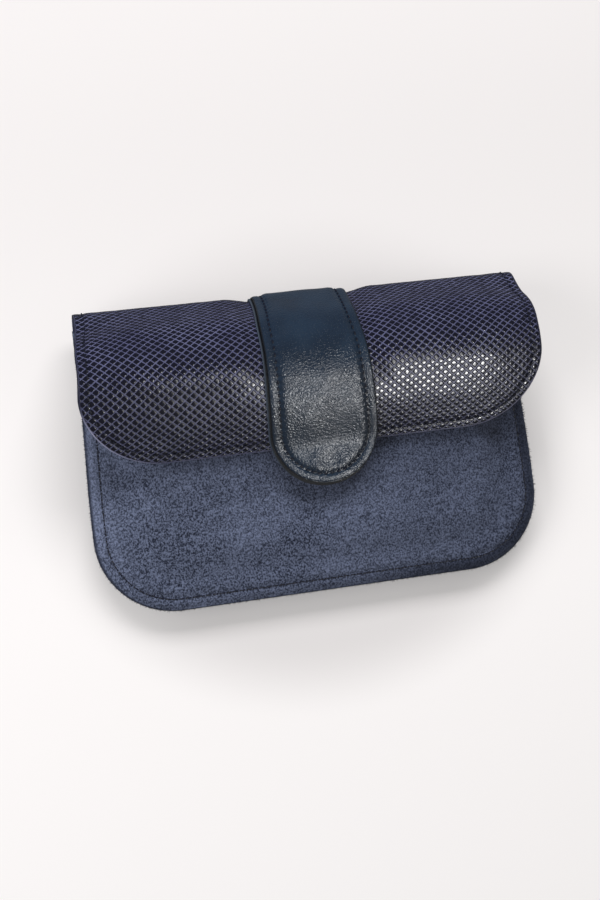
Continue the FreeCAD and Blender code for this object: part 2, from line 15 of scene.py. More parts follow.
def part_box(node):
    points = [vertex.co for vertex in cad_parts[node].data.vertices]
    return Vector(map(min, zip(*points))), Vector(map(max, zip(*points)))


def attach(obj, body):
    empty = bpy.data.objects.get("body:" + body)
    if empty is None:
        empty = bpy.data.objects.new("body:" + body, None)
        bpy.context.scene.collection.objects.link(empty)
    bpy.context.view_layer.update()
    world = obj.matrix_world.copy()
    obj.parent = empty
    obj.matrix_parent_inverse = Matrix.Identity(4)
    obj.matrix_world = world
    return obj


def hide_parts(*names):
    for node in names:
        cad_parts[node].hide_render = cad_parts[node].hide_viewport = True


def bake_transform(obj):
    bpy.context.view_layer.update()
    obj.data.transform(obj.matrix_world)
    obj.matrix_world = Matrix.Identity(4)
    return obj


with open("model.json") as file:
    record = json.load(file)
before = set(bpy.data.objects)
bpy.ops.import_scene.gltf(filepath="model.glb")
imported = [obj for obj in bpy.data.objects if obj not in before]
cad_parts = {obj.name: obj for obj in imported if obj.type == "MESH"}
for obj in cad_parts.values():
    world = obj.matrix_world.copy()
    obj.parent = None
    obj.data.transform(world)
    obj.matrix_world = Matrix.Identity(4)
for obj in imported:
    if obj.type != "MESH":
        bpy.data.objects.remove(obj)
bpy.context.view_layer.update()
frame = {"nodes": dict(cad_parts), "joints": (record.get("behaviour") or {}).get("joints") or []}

MM = 0.001
POUCH, FLAP = "pouch", "flap"
JOINT = frame["joints"][0]
HINGE = np.array(JOINT["pos_m"])

# ------------------------------------------------------------------ sizes
pouch_low, pouch_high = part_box("back_panel")
flap_low, flap_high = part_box("flap_outer")
strap_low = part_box("strap_outer")[0]

BODY_HALF = pouch_high.x
BODY_BOTTOM = pouch_low.y
BODY_CORNER = 34 * MM
SEAM_LEVEL = pouch_high.z
SEAM_INSET = 4.8 * MM          # stitches in from the raw edge
SUEDE = 1.4 * MM
LINING = 0.48 * MM             # as drawn, a little thinner than the solid
PANEL_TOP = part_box("front_panel")[1].y
BACK_TOP = pouch_high.y

FLAP_HALF = flap_high.x
FLAP_CORNER = 34.5 * MM
FLAP_LEATHER = 1.3 * MM
FLAP_LINING = 1.0 * MM
GLUE = 0.05 * MM
RIM_INSET = 4.0 * MM           # stitches in from a cut edge on the flap and strap

STRAP_TOP_HALF = 20.8 * MM
STRAP_LOW_HALF = 23.5 * MM
STRAP_BACKING = 1.4 * MM
STRAP_STACK = 3.1 * MM
PAD_ROOM = 0.75 * MM           # taken off the strap's outer layer, for its padding to rise into

FOLD_RADIUS = 9 * MM
TAIL = 6 * MM
TAIL_TILT, WALL_TILT, FLAP_TILT, TONGUE_TILT = 150.0, 57.0, -32.0, -12.0
WALL = 15 * MM
RIDGE_RADIUS = 24 * MM
LIFT_RADIUS = 30 * MM
FLAP_EDGE_Y = flap_low.y
STRAP_LIFT_Y = FLAP_EDGE_Y + 7 * MM
TONGUE_END_Y = strap_low.y + 1.8 * MM

STITCH_PITCH = 3.0 * MM
STRAP_PITCH = 2.9 * MM
SNAP_Y = -11.2 * MM
CELL_PITCH = 3.75 * MM         # across the flap; rows close up towards its top and lower edge


# ------------------------------------------------------------------ side profiles
class Profile:
    """A side profile from the back, over the fold, to the front: straights and tangent bends.

    Tilt is the angle of the surface's normal from +Z towards +Y. The curvature is eased a little at
    each joint of two parts, so that light runs smoothly over it.
    """

    STEP = 0.25 * MM
    EASE = 2.5 * MM

    def __init__(self, y, z, tilt):
        self.start = (y, z)
        self.tilt = tilt
        self.turns = []
        self.length = 0.0
        self.end = (y, z)

    def add(self, length, turn):
        """A stretch of this length, over which the tilt turns by this many degrees."""
        steps = max(int(round(length / self.STEP)), 1)
        first = self.tilt + turn * (np.arange(steps) + 0.5) / steps
        self.end = (self.end[0] - np.sum(np.cos(np.radians(first))) * length / steps,
                    self.end[1] + np.sum(np.sin(np.radians(first))) * length / steps)
        self.turns.append((self.length, self.length + length, self.tilt, self.tilt + turn))
        self.tilt += turn
        self.length += length
        return self

    def bend(self, radius, tilt):
        return self.add(abs(radius * math.radians(self.tilt - tilt)), tilt - self.tilt)

    def straight_to(self, y):
        return self.add((self.end[0] - y) / math.cos(math.radians(self.tilt)), 0.0)

    def freeze(self):
        """Tabulate the eased profile, finely enough to read it by interpolation."""
        pad = 4 * self.EASE
        self.s = np.arange(-pad, self.length + pad, self.STEP)
        knots = [self.turns[0][0]] + [turn[1] for turn in self.turns]
        tilts = [self.turns[0][2]] + [turn[3] for turn in self.turns]
        raw = np.interp(self.s, knots, tilts)
        reach = int(3 * self.EASE / self.STEP)
        window = np.exp(-0.5 * (np.arange(-reach, reach + 1) * self.STEP / self.EASE * 1.6) ** 2)
        padded = np.pad(raw, reach, mode="edge")
        self.tilts = np.convolve(padded, window / window.sum(), mode="valid")
        angle = np.radians(self.tilts)
        y = np.concatenate([[0], np.cumsum(-np.cos(angle[:-1]) * self.STEP)])
        z = np.concatenate([[0], np.cumsum(np.sin(angle[:-1]) * self.STEP)])
        origin = np.interp(0.0, self.s, y), np.interp(0.0, self.s, z)
        self.y = y - origin[0] + self.start[0]
        self.z = z - origin[1] + self.start[1]
        return self

    def at(self, s):
        """y, z and tilt in degrees at a distance along the profile."""
        return (np.interp(s, self.s, self.y), np.interp(s, self.s, self.z),
                np.interp(s, self.s, self.tilts))


def unit(tilt):
    return math.sin(math.radians(tilt)), math.cos(math.radians(tilt))


def profile_start():
    """Where the flap leather begins on the back, worked out from the hinge line."""
    wall, tail = unit(WALL_TILT), unit(TAIL_TILT)
    reach = FOLD_RADIUS + STRAP_STACK
    centre = (HINGE[1] - reach * wall[0], HINGE[2] - reach * wall[1])
    return (centre[0] + FOLD_RADIUS * tail[0] + TAIL * tail[1],
            centre[1] + FOLD_RADIUS * tail[1] - TAIL * tail[0])


def over_the_fold():
    profile = Profile(*profile_start(), TAIL_TILT)
    profile.add(TAIL, 0.0).bend(FOLD_RADIUS, WALL_TILT).add(WALL, 0.0)
    return profile.bend(RIDGE_RADIUS, FLAP_TILT)


flap_line = over_the_fold().straight_to(FLAP_EDGE_Y).freeze()
strap_line = over_the_fold().straight_to(STRAP_LIFT_Y).bend(-LIFT_RADIUS, TONGUE_TILT)
strap_line = strap_line.straight_to(TONGUE_END_Y).freeze()
HINGE_S = TAIL + FOLD_RADIUS * math.radians(TAIL_TILT - WALL_TILT)
RIDGE_END_S = HINGE_S + WALL + RIDGE_RADIUS * math.radians(WALL_TILT - FLAP_TILT)
RIDGE_S = HINGE_S + WALL + RIDGE_RADIUS * math.radians(WALL_TILT)


def smooth(low, high, value):
    u = np.clip((np.asarray(value) - low) / (high - low), 0.0, 1.0)
    return u * u * (3 - 2 * u)


def bell(value, centre, width):
    return np.exp(-((np.asarray(value) - centre) / width) ** 2)


def ripple(a, b, seed, scale, count=7):
    """Soft uneven waves over two coordinates, about -1 to 1, the same on every run."""
    draw = np.random.default_rng(seed)
    total = np.zeros(np.broadcast(a, b).shape)
    for wave in range(count):
        heading, phase = draw.uniform(0, math.tau, 2)
        length = scale * draw.uniform(0.6, 1.6)
        along = a * math.cos(heading) + b * math.sin(heading)
        total += np.sin(math.tau * along / length + phase)
    return total / math.sqrt(count) / 1.4


def on_profile(line, x, s, lift):
    y, z, tilt = line.at(s)
    angle = np.radians(tilt)
    return np.stack(np.broadcast_arrays(x, y + np.sin(angle) * lift, z + np.cos(angle) * lift), -1)


def flap_point(x, s, lift):
    """A point on the flap: x across, s along the leather from the back, lift out of its face."""
    x, s = np.broadcast_arrays(x, s)
    swinging = smooth(HINGE_S, HINGE_S + 14 * MM, s)
    wide = 1 + (0.020 * smooth(HINGE_S + 2 * MM, RIDGE_S - 10 * MM, s)
                + 0.013 * smooth(RIDGE_S - 6 * MM, RIDGE_END_S + 8 * MM, s))
    droop = 3.4 * MM * np.clip((np.abs(x) - 66 * MM) / (33 * MM), 0, 1) ** 2.2 * swinging
    height = lift - droop + sway(x, s) + rounding(x, s) - pressed(x, s)
    return on_profile(flap_line, x * wide, s, height)


def sway(x, s):
    """Slow waves that the flap and the strap share."""
    return 0.35 * MM * ripple(x, s, 11, 90 * MM, 5) * smooth(HINGE_S, HINGE_S + 14 * MM, s)


def rounding(x, s):
    """The flap's padded lower half: it rounds over instead of hanging straight."""
    run = np.clip((s - RIDGE_END_S) / (flap_line.length - RIDGE_END_S), 0, 1)
    full = 1.15 * MM + 0.35 * MM * ripple(x, 0 * x, 12, 70 * MM, 4)
    return full * np.sin(math.pi * run) - 0.25 * MM


def pressed(x, s):
    """How far the tight strap presses the flap in, most of all round the top of the fold."""
    beside = 1 - smooth(STRAP_TOP_HALF - 2 * MM, STRAP_TOP_HALF + 13 * MM, np.abs(x))
    return 2.3 * MM * beside * (1 - smooth(RIDGE_S, RIDGE_S + 22 * MM, s)) * smooth(0, 8 * MM, s)


def strap_point(x, s, lift):
    """A point on the strap: it lies on the flap, then its tongue bends away to the snap."""
    x, s = np.broadcast_arrays(x, s)
    run = np.clip((s - RIDGE_END_S) / (30 * MM), 0, 1)
    over = 1.1 * MM * np.sin(math.pi * run) - 0.2 * MM * smooth(HINGE_S, HINGE_S + 14 * MM, s)
    lean = (2.9 * MM * smooth(RIDGE_S, strap_line.length, s)
            - 1.2 * MM * bell(s, RIDGE_S - 15 * MM, 14 * MM))
    return on_profile(strap_line, x + lean, s, lift + sway(x, s) + over - pressed(x * 0.5, s))


# ------------------------------------------------------------------ meshes
def placed(name, data):
    """A new object in the scene, with this mesh, lamp or camera."""
    made = bpy.data.objects.new(name, data)
    bpy.context.scene.collection.objects.link(made)
    return made


def mesh_object(name, points, faces, smooth_shading=True):
    mesh = bpy.data.meshes.new(name)
    mesh.from_pydata([tuple(p) for p in points], [], [tuple(f) for f in faces])
    mesh.update()
    if smooth_shading:
        mesh.shade_smooth()
    return placed(name, mesh)


def signed_volume(points, faces):
    quads = np.array(faces)
    a, b, c, d = (points[quads[:, i]] for i in range(4))
    return float(np.sum(np.einsum("ij,ij->i", a, np.cross(b, c)) +
                        np.einsum("ij,ij->i", a, np.cross(c, d))))


def border_of(rows, cols):
    """Vertex numbers round the edge of a grid, once round."""
    top = list(range(cols))
    right = [r * cols + cols - 1 for r in range(1, rows)]
    bottom = [(rows - 1) * cols + c for c in range(cols - 2, -1, -1)]
    left = [r * cols for r in range(rows - 2, 0, -1)]
    return top + right + bottom + left


def sheet_object(name, face, back, flat, bulge, rim_rings=3, rough=0.0, seed=1):
    """A closed sheet between two grids of points, with a rounded or rough cut edge.

    flat holds each grid point's place on the unrolled leather. The mesh carries it in the attribute
    "flat", and "rim", which is 1 on the cut edge and 0 on both faces.
    """
    rows, cols = face.shape[:2]
    count = rows * cols
    edge = border_of(rows, cols)
    face_points, back_points = face.reshape(-1, 3), back.reshape(-1, 3)
    inward = np.concatenate([face[1, :], face[1:, -2], face[-2, -2::-1], face[-2:0:-1, 1]])
    outward = face_points[edge] - inward
    outward /= np.maximum(np.linalg.norm(outward, axis=1, keepdims=True), 1e-9)
    outward = (outward + np.roll(outward, 1, 0) + np.roll(outward, -1, 0)) / 3
    draw = np.random.default_rng(seed)
    points, flats = [face_points, back_points], [flat.reshape(-1, 3)] * 2
    on_edge = np.zeros(count)
    on_edge[edge] = 1.0
    rims = [on_edge, on_edge]
    for ring in range(1, rim_rings + 1):
        share = ring / (rim_rings + 1)
        middle = face_points[edge] * (1 - share) + back_points[edge] * share
        swell = bulge * math.sin(math.pi * share) + rough * draw.uniform(-1, 1, (len(edge), 1))
        points.append(middle + outward * swell)
        flats.append(flat.reshape(-1, 3)[edge] + np.array([0, 0, share * SUEDE]))
        rims.append(np.ones(len(edge)))
    faces = []
    for r in range(rows - 1):
        for c in range(cols - 1):
            i = r * cols + c
            faces.append((i, i + 1, i + cols + 1, i + cols))
            faces.append((count + i + cols, count + i + cols + 1, count + i + 1, count + i))
    loops = [edge] + [[2 * count + k * len(edge) + j for j in range(len(edge))]
                      for k in range(rim_rings)] + [[count + i for i in edge]]
    for upper, lower in zip(loops, loops[1:]):
        for j in range(len(edge)):
            k = (j + 1) % len(edge)
            faces.append((upper[j], lower[j], lower[k], upper[k]))
    points = np.concatenate(points)
    if signed_volume(points, faces) < 0:
        faces = [f[::-1] for f in faces]
    made = mesh_object(name, points, faces)
    store(made, "flat", np.concatenate(flats), "FLOAT_VECTOR")
    store(made, "rim", np.concatenate(rims), "FLOAT")
    return made


def store(obj, name, values, kind):
    attribute = obj.data.attributes.new(name, kind, "POINT")
    attribute.data.foreach_set("vector" if kind == "FLOAT_VECTOR" else "value",
                               np.asarray(values, np.float32).ravel())


def places_of(obj, attribute=None):
    """Each vertex's place, or its place in an attribute, as rows of three numbers."""
    data = obj.data.attributes[attribute].data if attribute else obj.data.vertices
    places = np.empty(3 * len(obj.data.vertices), np.float32)
    data.foreach_get("vector" if attribute else "co", places)
    return places.reshape(-1, 3)


def flat_places(across, along):
    return np.stack([across, along, np.zeros_like(across)], -1)


def normals_of(surface, a, b, step=0.2 * MM):
    """Unit normals of a mapped surface at the given places, by small steps."""
    across = surface(a + step, b, 0.0) - surface(a - step, b, 0.0)
    along = surface(a, b + step, 0.0) - surface(a, b - step, 0.0)
    made = np.cross(along, across)
    return made / np.linalg.norm(made, axis=-1, keepdims=True)


def rounded_rows(low, high, corner, spacing):
    """Row positions from a rounded end upwards: even round the corners, then even up the sides."""
    turns = np.linspace(0, math.pi / 2, int(corner * math.pi / 2 / spacing))
    curved = low + corner * (1 - np.cos(turns))
    rest = np.linspace(low + corner, high, int((high - low - corner) / spacing) + 1)
    return np.concatenate([curved, rest[1:]])


def half_width(from_end, half, corner):
    """Half the width of a strip with two round corners, at a distance from its end."""
    inside = np.clip(corner - from_end, 0, corner)
    return half - corner + np.sqrt(np.maximum(corner ** 2 - inside ** 2, 0))


# ------------------------------------------------------------------ copies along and over surfaces
class Tree:
    """A node tree with one way to make a node: its type, its settings, then its sockets."""

    def __init__(self, tree):
        self.tree = tree
        tree.nodes.clear()

    def node(self, kind, settings=None, values=None):
        made = self.tree.nodes.new(kind)
        for name, value in (settings or {}).items():
            setattr(made, name, value)
        for name, value in (values or {}).items():
            socket = made.inputs[name]
            if isinstance(value, Number):
                value = value.socket
            if isinstance(value, bpy.types.NodeSocket):
                self.tree.links.new(value, socket)
            else:
                socket.default_value = value
        return made


class Number:
    """A socket that takes part in Python arithmetic; each operation adds a Math node."""

    def __init__(self, tree, socket):
        self.tree, self.socket = tree, socket

    def _math(self, operation, *values):
        sockets = {i: value for i, value in enumerate(values)}
        made = self.tree.node("ShaderNodeMath", {"operation": operation}, sockets)
        return Number(self.tree, made.outputs[0])

    def __add__(self, other):
        return self._math("ADD", self, other)

    def __sub__(self, other):
        return self._math("SUBTRACT", self, other)

    def __rsub__(self, other):
        return self._math("SUBTRACT", other, self)

    def __mul__(self, other):
        return self._math("MULTIPLY", self, other)

    def __pow__(self, other):
        return self._math("POWER", self, other)

    __radd__, __rmul__ = __add__, __mul__

    def ramp(self, low, high, to_low=0.0, to_high=1.0):
        """This value carried from one range to another, smoothly and without overshoot."""
        made = self.tree.node("ShaderNodeMapRange", {"interpolation_type": "SMOOTHSTEP"}, {
            "Value": self, "From Min": low, "From Max": high, "To Min": to_low, "To Max": to_high})
        return Number(self.tree, made.outputs["Result"])


def placing_tree():
    """Copies an object onto points, turned by the points' own "along" and "up" vectors."""
    group = bpy.data.node_groups.new("copies on points", "GeometryNodeTree")
    inputs = {"Geometry": "Geometry", "Copy": "Object", "Spacing": "Float", "Uneven": "Float",
              "Finish": "Material"}
    for name, kind in inputs.items():
        group.interface.new_socket(name, in_out="INPUT", socket_type="NodeSocket" + kind)
    group.interface.new_socket("Geometry", in_out="OUTPUT", socket_type="NodeSocketGeometry")
    tree = Tree(group)
    given = tree.node("NodeGroupInput").outputs
    rail = tree.node("GeometryNodeMeshToCurve", None, {"Mesh": given["Geometry"]})
    even = tree.node("GeometryNodeResampleCurve", {"mode": "LENGTH"},
                     {"Curve": rail.outputs[0], "Length": given["Spacing"]})
    beads = tree.node("GeometryNodeCurveToPoints", {"mode": "EVALUATED"},
                      {"Curve": even.outputs[0]})
    follows = tree.node("FunctionNodeCompare", {"data_type": "FLOAT", "operation": "GREATER_THAN"},
                        {0: given["Spacing"], 1: 0.0})
    points = tree.node("GeometryNodeSwitch", {"input_type": "GEOMETRY"}, {
        "Switch": follows.outputs[0], "False": given["Geometry"], "True": beads.outputs["Points"]})
    vectors = [tree.node("GeometryNodeInputNamedAttribute", {"data_type": "FLOAT_VECTOR"},
                         {"Name": name}).outputs["Attribute"] for name in ("along", "up")]
    turned = tree.node("FunctionNodeAxesToRotation", {"primary_axis": "Z", "secondary_axis": "X"},
                       {"Primary Axis": vectors[1], "Secondary Axis": vectors[0]})
    draw = tree.node("FunctionNodeRandomValue", {"data_type": "FLOAT"}, {"Seed": 7})
    spread = Number(tree, draw.outputs[1])
    scale = (spread * 2.0 - 1.0) * Number(tree, given["Uneven"]) + 1.0
    copies = tree.node("GeometryNodeInstanceOnPoints", None, {
        "Points": points.outputs[0],
        "Instance": tree.node("GeometryNodeObjectInfo", None,
                              {"Object": given["Copy"]}).outputs["Geometry"],
        "Rotation": turned.outputs[0], "Scale": scale})
    real = tree.node("GeometryNodeRealizeInstances", None, {0: copies.outputs[0]})
    made = tree.node("GeometryNodeSetMaterial", None, {
        "Geometry": real.outputs[0], "Material": given["Finish"]})
    tree.node("NodeGroupOutput", None, {"Geometry": made.outputs[0]})
    return group


def copies(name, points, along, up, copy, finish, spacing=0.0, uneven=0.0):
    """A mesh of copies on points, or spaced evenly along the line that the points make."""
    rail = bpy.data.meshes.new(name + "_rail")
    edges = [] if spacing == 0 else [(i, i + 1) for i in range(len(points) - 1)]
    rail.from_pydata([tuple(p) for p in points], edges, [])
    holder = placed(name + "_holder", rail)
    store(holder, "along", along, "FLOAT_VECTOR")
    store(holder, "up", up, "FLOAT_VECTOR")
    modifier = holder.modifiers.new("copies", "NODES")
    modifier.node_group = PLACING
    wanted = {"Copy": copy, "Spacing": spacing, "Uneven": uneven, "Finish": finish}
    for item in PLACING.interface.items_tree:
        if item.in_out == "INPUT" and item.name in wanted:
            modifier[item.identifier] = wanted[item.name]
    graph = bpy.context.evaluated_depsgraph_get()
    mesh = bpy.data.meshes.new_from_object(holder.evaluated_get(graph))
    bpy.data.objects.remove(holder)
    mesh.name = name
    return placed(name, mesh)


def tangents(points):
    made = np.gradient(points, axis=0)
    return made / np.maximum(np.linalg.norm(made, axis=1, keepdims=True), 1e-12)


def hidden_copy(name, points, faces):
    made = mesh_object(name, points, faces)
    bpy.context.scene.collection.objects.unlink(made)
    return made


def stitch_shape(length, radius):
    """One stitch: a bowed length of thread whose ends dive into the leather."""
    stations, sides = 7, 6
    points, faces = [], []
    for i in range(stations):
        share = i / (stations - 1)
        x = (share - 0.5) * length
        rise = radius * (0.75 - 3.1 * abs(2 * share - 1) ** 3)
        thick = radius * (0.72 + 0.28 * math.sin(math.pi * share))
        for k in range(sides):
            turn = math.tau * k / sides
            points.append((x, 1.15 * thick * math.cos(turn), rise + thick * math.sin(turn)))
    for i in range(stations - 1):
        for k in range(sides):
            m = (k + 1) % sides
            faces.append((i * sides + k, i * sides + m, (i + 1) * sides + m, (i + 1) * sides + k))
    faces.append(tuple(range(sides))[::-1])
    faces.append(tuple((stations - 1) * sides + k for k in range(sides)))
    return hidden_copy("stitch", points, [f[::-1] for f in faces])


def cell_shape(pitch, height):
    """One embossed cell: a low glossy pillow with four sides and soft corners."""
    reach = pitch / 2
    rings = ((0.84, -0.6), (0.76, 0.55), (0.48, 1.0))
    sides = 8
    points, faces = [], []
    for share, level in rings:
        for k in range(sides):
            turn = math.tau * k / sides
            corner = abs(math.cos(turn)) + abs(math.sin(turn))
            round_off = corner ** 0.86
            points.append((reach * share * math.cos(turn) / round_off,
                           reach * share * math.sin(turn) / round_off, height * level))
    points.append((0, 0, height * 1.02))
    for r in range(len(rings) - 1):
        for k in range(sides):
            m = (k + 1) % sides
            faces.append((r * sides + k, r * sides + m, (r + 1) * sides + m, (r + 1) * sides + k))
    last = (len(rings) - 1) * sides
    for k in range(sides):
        faces.append((last + k, last + (k + 1) % sides, len(points) - 1))
    faces.append(tuple(range(sides))[::-1])
    return hidden_copy("cell", points, faces)


def fibre_shape(length, radius):
    """One suede fibre: a thin curved spike of three sides."""
    points, faces = [], []
    for share in (0.0, 0.55):
        for k in range(3):
            turn = math.tau * k / 3
            thick = radius * (1 - 0.45 * share)
            points.append((thick * math.cos(turn) + 0.2 * length * share ** 2,
                           thick * math.sin(turn), length * share))
    points.append((0.35 * length, 0, length))
    for k in range(3):
        m = (k + 1) % 3
        faces.append((k, m, 3 + m, 3 + k))
        faces.append((3 + k, 3 + m, 6))
    faces.append((2, 1, 0))
    return hidden_copy("fibre", points, faces)


# ------------------------------------------------------------------ finishes
def colour(red, green, blue):
    """An everyday 0 to 255 colour as the linear one that shaders take."""
    def linear(value):
        value /= 255
        return value / 12.92 if value <= 0.04045 else ((value + 0.055) / 1.055) ** 2.4
    return (linear(red), linear(green), linear(blue), 1.0)


class Finish:
    """A material built from nodes, with its shader and a few patterns ready to use."""

    def __init__(self, name, constants):
        self.material = bpy.data.materials.new(name)
        self.material.use_nodes = True
        self.tree = Tree(self.material.node_tree)
        self.shader = self.tree.node("ShaderNodeBsdfPrincipled", None, constants)
        self.tree.node("ShaderNodeOutputMaterial", None, {"Surface": self.shader.outputs[0]})

    def attribute(self, name):
        made = self.tree.node("ShaderNodeAttribute", {"attribute_name": name})
        return Number(self.tree, made.outputs["Fac"])

    def place(self):
        return self.tree.node("ShaderNodeTexCoord").outputs["Object"]

    def noise(self, size, detail, roughness, stretch=(1, 1, 1)):
        """Cloudy noise whose features are about this size, from 0 to 1."""
        turned = self.tree.node("ShaderNodeMapping", {"vector_type": "POINT"},
                                {"Vector": self.place(), "Scale": stretch})
        made = self.tree.node("ShaderNodeTexNoise", None, {
            "Vector": turned.outputs[0], "Scale": 1 / size, "Detail": detail,
            "Roughness": roughness})
        return Number(self.tree, made.outputs[0])

    def cells(self, size):
        """Distance in from the edges of a pebbled pattern."""
        made = self.tree.node("ShaderNodeTexVoronoi", {"feature": "DISTANCE_TO_EDGE"},
                              {"Vector": self.place(), "Scale": 1 / size})
        return Number(self.tree, made.outputs["Distance"])

    def mix(self, share, first, second):
        made = self.tree.node("ShaderNodeMix", {"data_type": "RGBA"},
                              {0: share, 6: first, 7: second})
        return made.outputs[2]

    def bump(self, height, distance):
        made = self.tree.node("ShaderNodeBump", None, {"Distance": distance, "Height": height})
        self.link("Normal", made.outputs[0])

    def link(self, socket, value):
        if isinstance(value, Number):
            value = value.socket
        self.tree.tree.links.new(value, self.shader.inputs[socket])


def suede_finish(name, deep, pale, rim):
    """Napped suede: brushed patches, fine mottling, a soft sheen and a paler raw edge, with painted
    light where the lit attribute is set and painted shade where the shade attribute is set.
    """
    made = Finish(name, {"Roughness": 0.92, "Specular IOR Level": 0.18, "Sheen Weight": 0.35,
                         "Sheen Roughness": 0.45, "Sheen Tint": colour(120, 132, 160)})
    patches = made.noise(24 * MM, 3.0, 0.55).ramp(0.34, 0.66)
    mottle = made.noise(3 * MM, 4.0, 0.7).ramp(0.34, 0.66)
    grain = made.noise(0.72 * MM, 3.0, 0.7, (1, 0.8, 1))
    # The nap pattern, plus painted light from the lit attribute.
    nap_and_painted_light = patches * 0.18 + mottle * 0.12 + grain.ramp(0.40, 0.60) * 0.70 + made.attribute("lit")
    # Painted shade: the shade attribute pulls the colour towards deep.
    base = made.mix(made.attribute("shade"), made.mix(nap_and_painted_light, deep, pale), deep)
    made.link("Base Color", made.mix(made.attribute("rim"), base, rim))
    made.bump(grain * 0.8 + mottle * 0.4, 0.5 * MM)
    return made.material


def leather_finish(name, base, pale, rim, roughness, bumps, specular=0.5):
    """Smooth dye-coloured leather with fine pebbled grain and a cut edge of its own colour; painted
    shade darkens it where the shade attribute is set.
    """
    made = Finish(name, {"Specular IOR Level": specular})
    pebble = made.cells(1.25 * MM).ramp(0.0, 0.34)
    pores = made.noise(0.8 * MM, 2.0, 0.65)
    cloud = made.noise(14 * MM, 3.0, 0.5).ramp(0.3, 0.7)
    leather_colour = made.mix(cloud * 0.5 + pores * 0.3, base, pale)
    # Painted shade: near black where the shade attribute is set, on the flap's cut edge up its
    # sides.
    leather_colour = made.mix(made.attribute("shade"), leather_colour, colour(14, 15, 26))
    made.link("Base Color", made.mix(made.attribute("rim"), leather_colour, rim))
    made.link("Roughness", pores * 0.14 + cloud * 0.05 + (roughness - 0.1))
    made.bump(pebble * 0.5 + pores * 0.8, bumps)
    return made.material


def plain_finish(name, base, roughness, metallic=0.0, scratch=0.0):
    made = Finish(name, {"Metallic": metallic, "Base Color": base})
    wear = made.noise(0.8 * MM, 3.0, 0.6)
    made.link("Roughness", wear * 0.2 + (roughness - 0.1))
    if scratch:
        made.bump(wear, scratch)
    return made.material


def cloth_finish(name, base, pale):
    """Plain woven lining."""
    made = Finish(name, {"Roughness": 0.8, "Specular IOR Level": 0.3, "Sheen Weight": 0.2})
    across = made.noise(0.5 * MM, 1.0, 0.5, (1, 0.12, 1))
    along = made.noise(0.5 * MM, 1.0, 0.5, (0.12, 1, 1))
    weave = across * along * 2.0
    made.link("Base Color", made.mix(weave, base, pale))
    made.bump(weave, 0.12 * MM)
    return made.material


PLACING = placing_tree()
suede = suede_finish("navy suede", colour(14, 18, 32), colour(114, 123, 149), colour(40, 44, 58))
lattice_base = leather_finish("embossed ground", colour(66, 68, 98), colour(96, 99, 130),
                              colour(160, 160, 188), 0.45, 0.06 * MM)
cell_gloss = plain_finish("embossed cells", colour(10, 11, 28), 0.16, scratch=0.010 * MM)
strap_leather = leather_finish("strap leather", colour(12, 28, 46), colour(24, 44, 64),
                               colour(6, 9, 14), 0.31, 0.19 * MM, 0.75)
flesh_side = suede_finish("flesh side", colour(48, 50, 74), colour(84, 86, 112),
                          colour(128, 128, 156))
strap_edge = leather_finish("strap backing", colour(5, 7, 12), colour(9, 12, 18),
                            colour(62, 70, 82), 0.6, 0.05 * MM, 0.25)
loose_fibre = plain_finish("loose fibres", colour(40, 44, 60), 0.9)
thread = plain_finish("waxed thread", colour(16, 19, 34), 0.5)
lining_cloth = cloth_finish("lining cloth", colour(30, 34, 58), colour(58, 62, 92))
nickel = plain_finish("nickel plate", colour(200, 200, 196), 0.28, 1.0, 0.01 * MM)


def dress(piece, finish, slot, body, *nodes, blended=False):
    """Give a finished piece its material, put it on its body or bake its transform when blended,
    and hide the CAD nodes it stands for.
    """
    if finish is not None:
        cover(piece, finish)
    if blended:
        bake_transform(piece)
    else:
        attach(piece, body)
    if nodes:
        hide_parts(*nodes)


def cover(piece, finish):
    piece.data.materials.clear()
    piece.data.materials.append(finish)


STITCH = stitch_shape(2.55 * MM, 0.34 * MM)
CELL = cell_shape(CELL_PITCH, 0.11 * MM)
FIBRE = fibre_shape(1.0 * MM, 0.06 * MM)


# ------------------------------------------------------------------ pouch
def solid_height(node, x, y, from_below=False):
    """Height of a CAD node's outer face over a grid of places, NaN where a ray misses it."""
    mesh = frame["nodes"][node].data
    tree = BVHTree.FromPolygons([v.co for v in mesh.vertices], [p.vertices for p in mesh.polygons])
    heading = Vector((0, 0, 1 if from_below else -1))
    far = -1.0 if from_below else 1.0
    heights = np.full(x.shape, np.nan)
    for place in np.ndindex(x.shape):
        hit = tree.ray_cast(Vector((x[place], y[place], far)), heading)[0]
        if hit is not None:
            heights[place] = hit.z
    return heights


def blurred(grid, passes):
    for _ in range(passes):
        padded = np.pad(grid, 1, mode="edge")
        grid = (padded[1:-1, :-2] + padded[1:-1, 2:] + padded[:-2, 1:-1] + padded[2:, 1:-1]
                + 2 * grid) / 6
    return grid


class HeightMap:
    """A CAD node's outer face as smooth heights on a regular grid, read by interpolation."""

    SPACING = 1.5 * MM

    def __init__(self, node, passes, from_below=False):
        low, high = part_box(node)
        inset = 0.15 * MM
        self.xs = np.arange(low.x + inset, high.x - inset, self.SPACING)
        self.ys = np.arange(low.y + inset, high.y - inset, self.SPACING)
        x, y = np.meshgrid(self.xs, self.ys)
        raw = solid_height(node, x, y, from_below)
        border = SEAM_LEVEL - SUEDE if from_below else SEAM_LEVEL + SUEDE
        self.heights = blurred(np.where(np.isnan(raw), border, raw), passes)

    def at(self, x, y):
        x, y = np.broadcast_arrays(x, y)
        u = np.clip((x - self.xs[0]) / self.SPACING, 0, len(self.xs) - 1.001)
        v = np.clip((y - self.ys[0]) / self.SPACING, 0, len(self.ys) - 1.001)
        i, j = u.astype(int), v.astype(int)
        fu, fv = u - i, v - j
        h = self.heights
        return (h[j, i] * (1 - fu) * (1 - fv) + h[j, i + 1] * fu * (1 - fv)
                + h[j + 1, i] * (1 - fu) * fv + h[j + 1, i + 1] * fu * fv)


